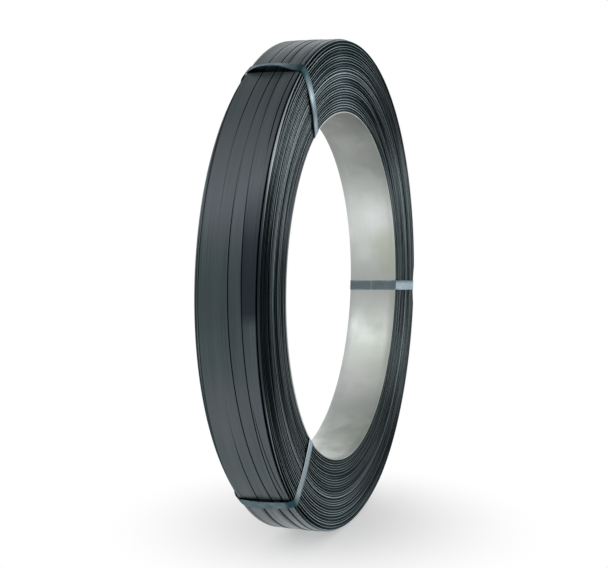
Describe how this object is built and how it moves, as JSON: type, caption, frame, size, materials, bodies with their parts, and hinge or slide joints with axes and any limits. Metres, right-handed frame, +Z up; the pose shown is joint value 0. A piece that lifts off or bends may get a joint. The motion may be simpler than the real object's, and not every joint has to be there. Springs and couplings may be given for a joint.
{
  "type": "steel strapping coil",
  "caption": "Mill-wound coil of dark steel strapping with a bright sleeve in its bore, held by narrow steel ties round the winding.",
  "frame": {"origin": "on the floor under the middle of the bore, where the coil stands on its tread", "axes": "+X along the bore out of the end face that the picture shows, +Z up"},
  "size_m": [0.0742, 0.566, 0.564],
  "materials": {
    "strapping": "blued and waxed, satin",
    "sleeve": "bright cold rolled",
    "tie": "blued, glossy"
  },
  "bodies": {
    "root": {"strap_coil": "strapping", "bore_sleeve": "sleeve", "tie_right": "tie", "tie_upper": "tie", "tie_lower": "tie"}
  },
  "joints": []
}
